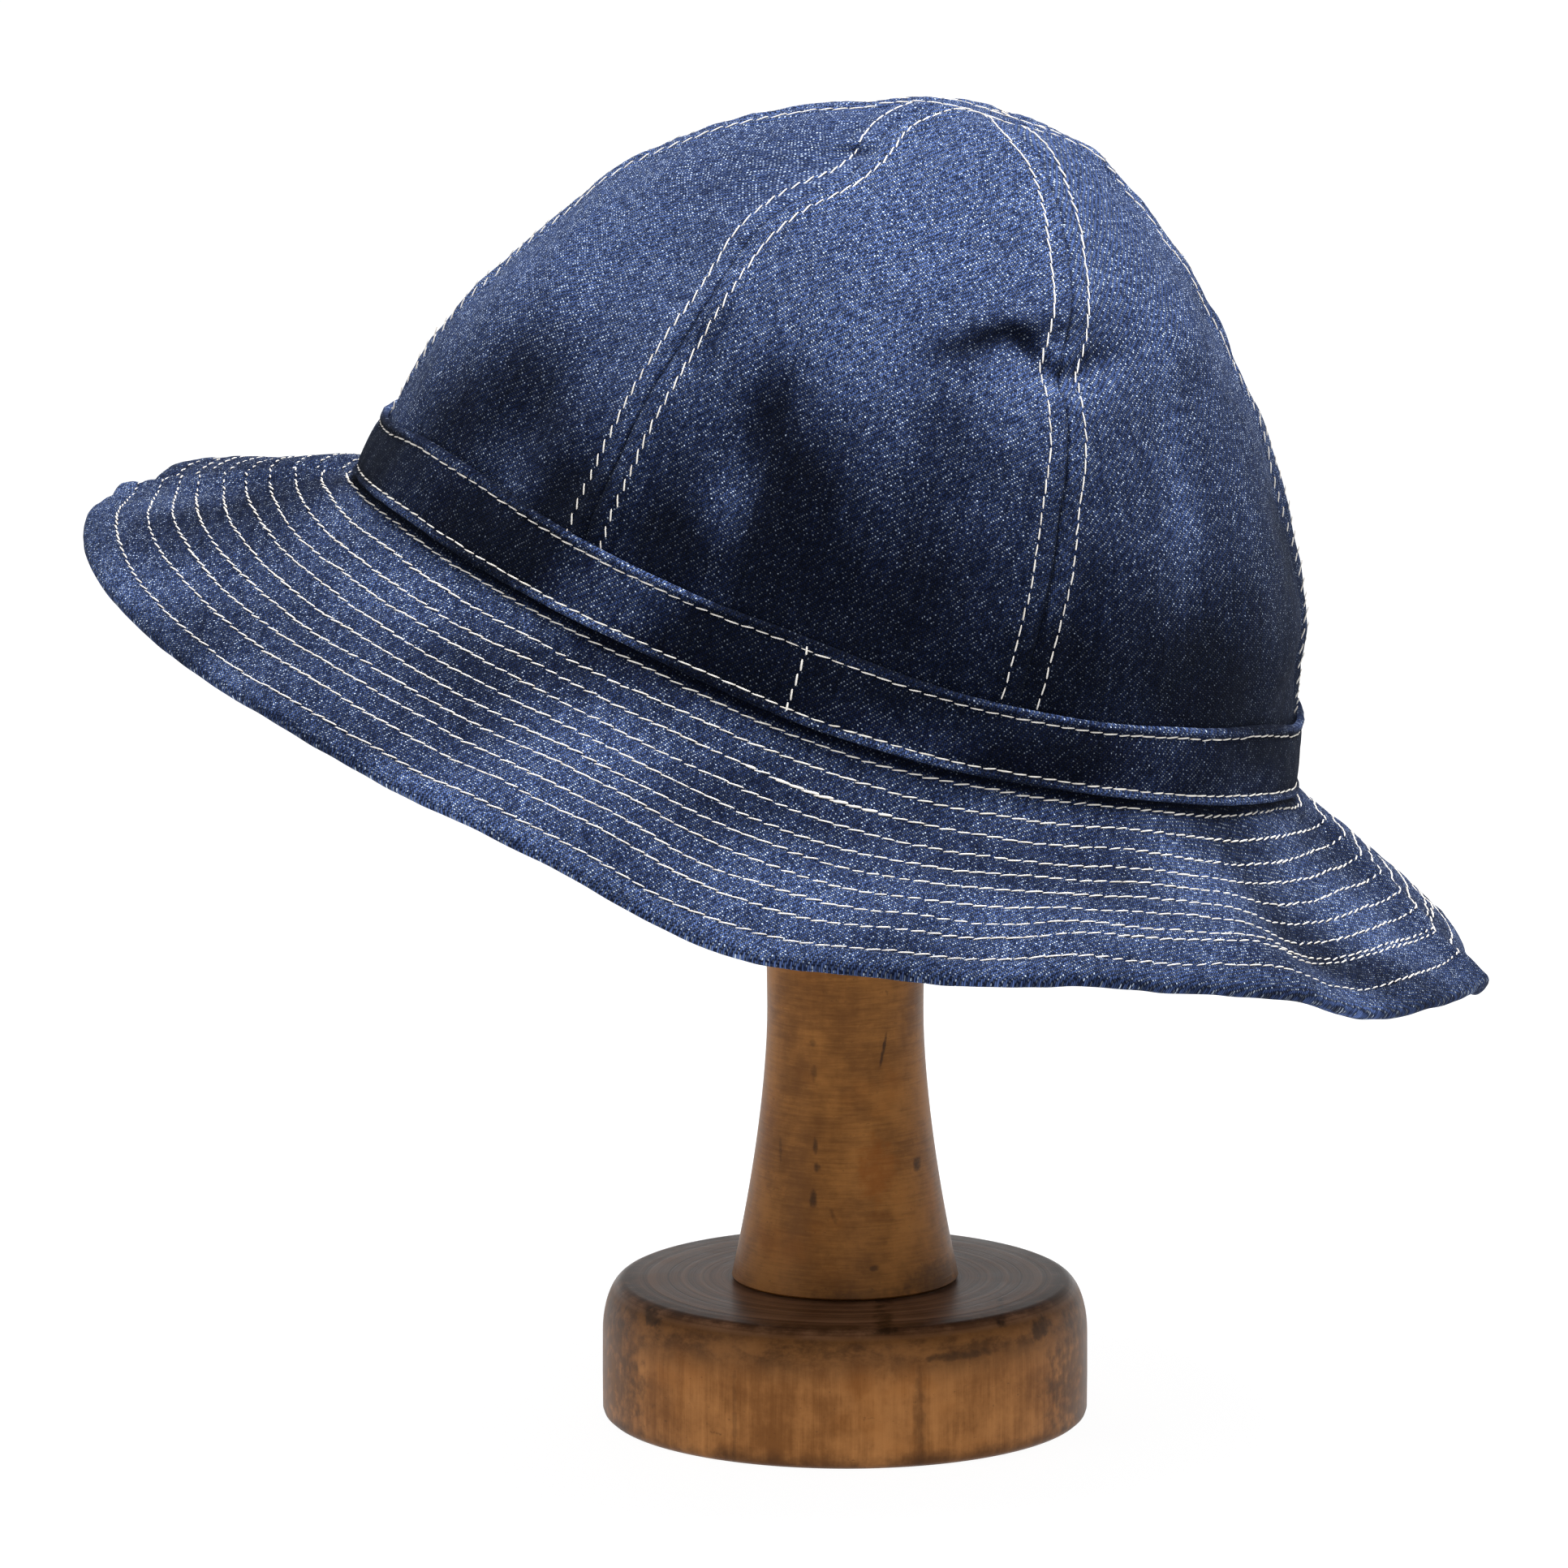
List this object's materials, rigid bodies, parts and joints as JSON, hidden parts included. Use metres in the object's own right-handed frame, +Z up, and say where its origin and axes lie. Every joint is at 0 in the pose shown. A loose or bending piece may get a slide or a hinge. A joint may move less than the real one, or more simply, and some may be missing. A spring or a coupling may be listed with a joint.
{
  "type": "work hat on stand",
  "caption": "Denim work hat with a panelled round crown, a hatband and a wavy stitched brim, tilted on a turned wooden hat stand.",
  "frame": {"origin": "middle of the stand's flat underside, on the surface that it stands on", "axes": "+Z up along the stand's axis, -X towards the hat's raised front, -Y towards the side of the hat with the band's join, +X towards its lowered back"},
  "size_m": [0.2881, 0.2664, 0.2761],
  "materials": {
    "denim_crown": "matt indigo twill with pale flecks and cream topstitching",
    "denim_band": "matt dark indigo twill with cream topstitching",
    "denim_brim": "matt indigo twill, paler on its raised edge, with rows of cream topstitching",
    "denim_lining": "matt indigo twill",
    "wood_dome": "worn satin brown",
    "wood_neck": "worn satin brown with small dark dents",
    "wood_base": "worn satin brown with a dark stained, ringed top"
  },
  "bodies": {
    "root": {"crown_panel_1": "denim_crown", "crown_panel_2": "denim_crown", "crown_panel_3": "denim_crown", "crown_panel_4": "denim_crown", "crown_panel_5": "denim_crown", "crown_panel_6": "denim_crown", "hatband": "denim_band", "brim_top": "denim_brim", "brim_under": "denim_lining", "stand_dome": "wood_dome", "stand_neck": "wood_neck", "stand_base": "wood_base"}
  },
  "joints": []
}
